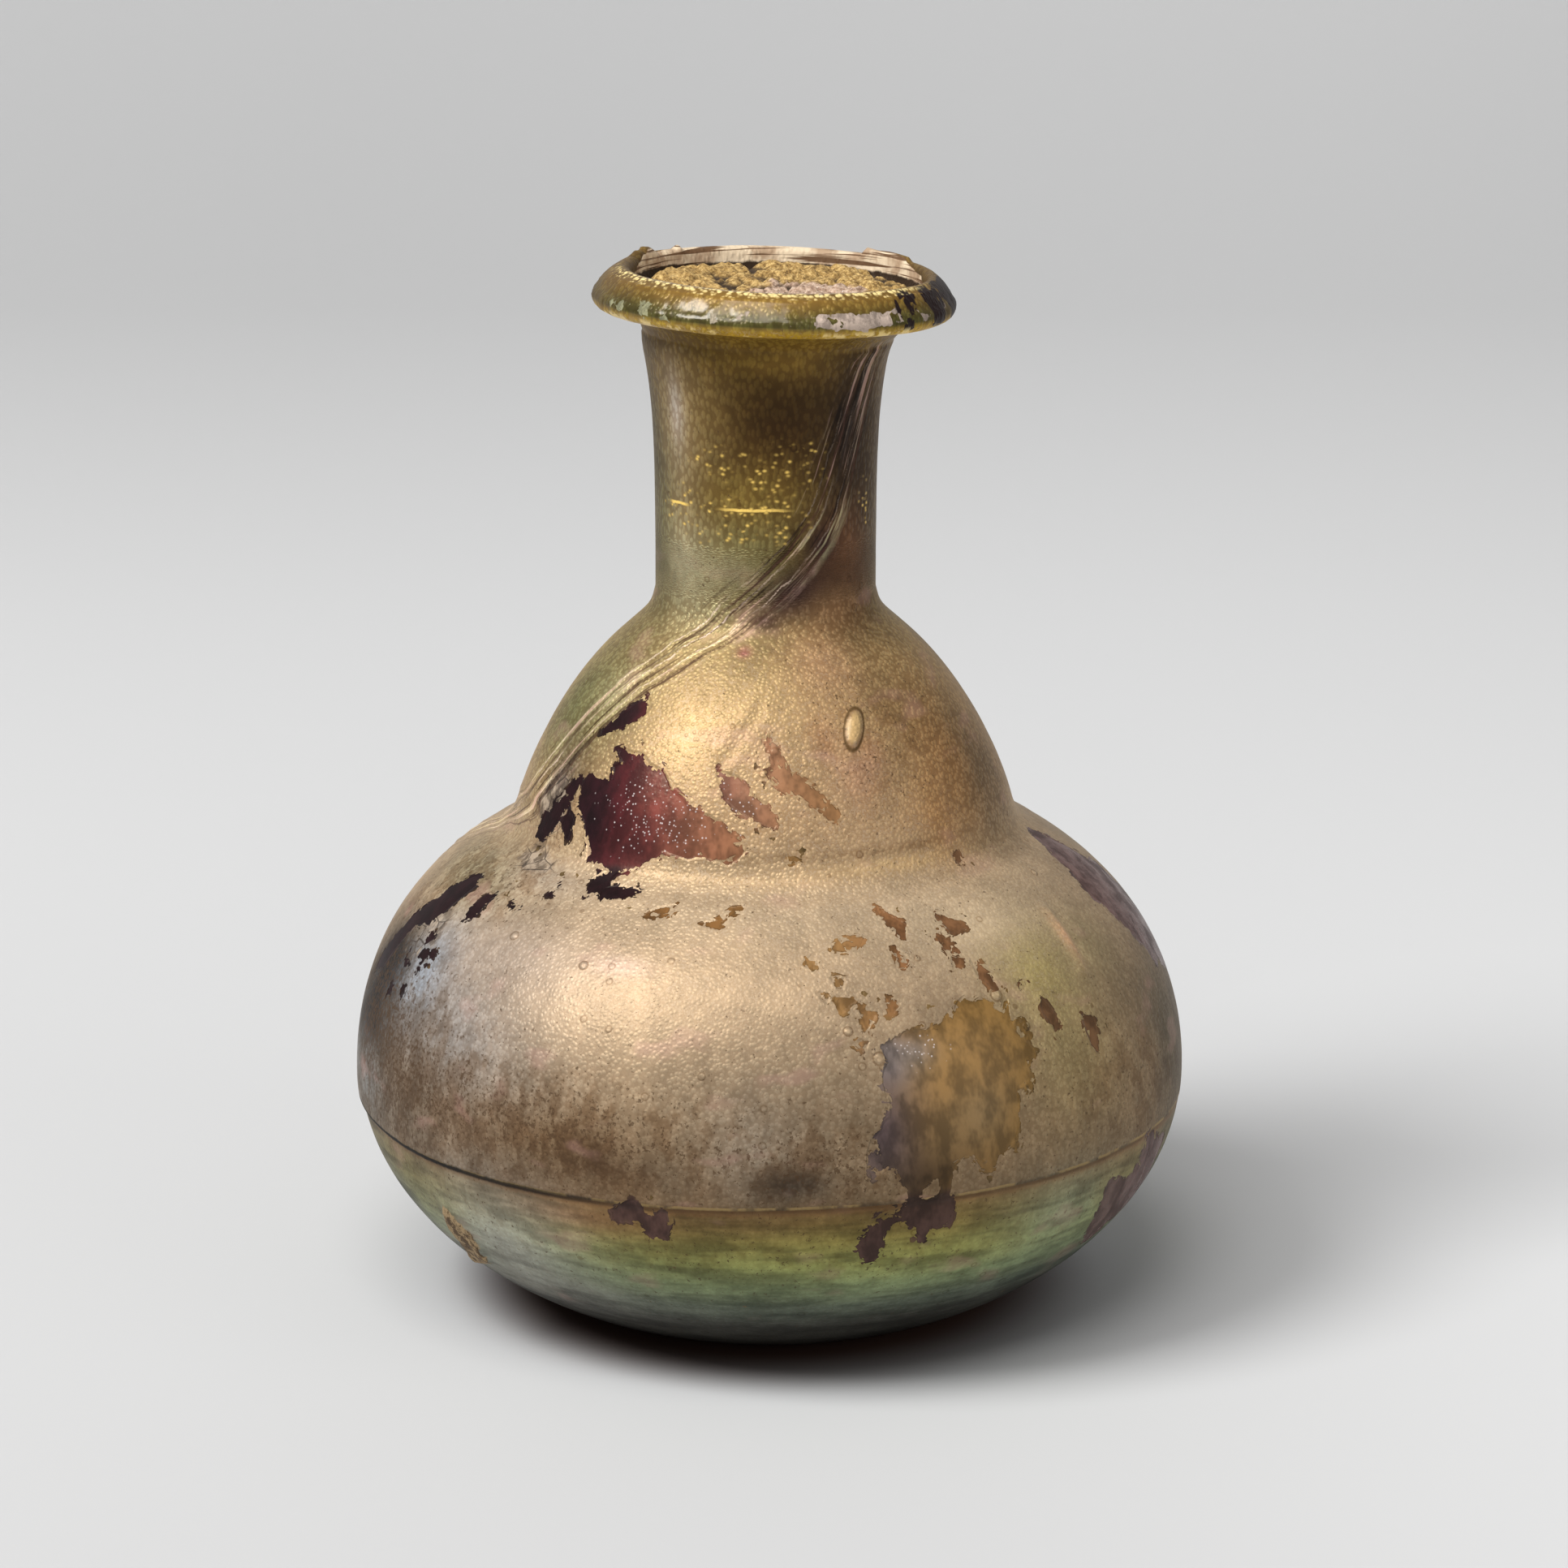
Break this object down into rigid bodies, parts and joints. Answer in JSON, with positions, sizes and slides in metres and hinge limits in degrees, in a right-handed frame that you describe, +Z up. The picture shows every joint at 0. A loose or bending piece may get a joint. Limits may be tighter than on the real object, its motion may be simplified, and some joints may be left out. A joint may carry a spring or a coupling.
{
  "type": "ancient glass flask",
  "caption": "Ancient blown-glass flask with a rounded bowl, bulging shoulder, narrow neck and folded rim, weathered and iridescent, with soil in its mouth.",
  "frame": {"origin": "centre of the flattened underside, on the surface that the flask stands on", "axes": "+Z up along the neck, -Y towards the side shown in front"},
  "size_m": [0.0746, 0.0746, 0.0929],
  "materials": {
    "weathered_glass": "weathered, iridescent, half gloss",
    "dry_soil": "dry, crumbly, matt"
  },
  "bodies": {
    "root": {"glass_bottle": "weathered_glass", "soil_plug": "dry_soil"}
  },
  "joints": []
}
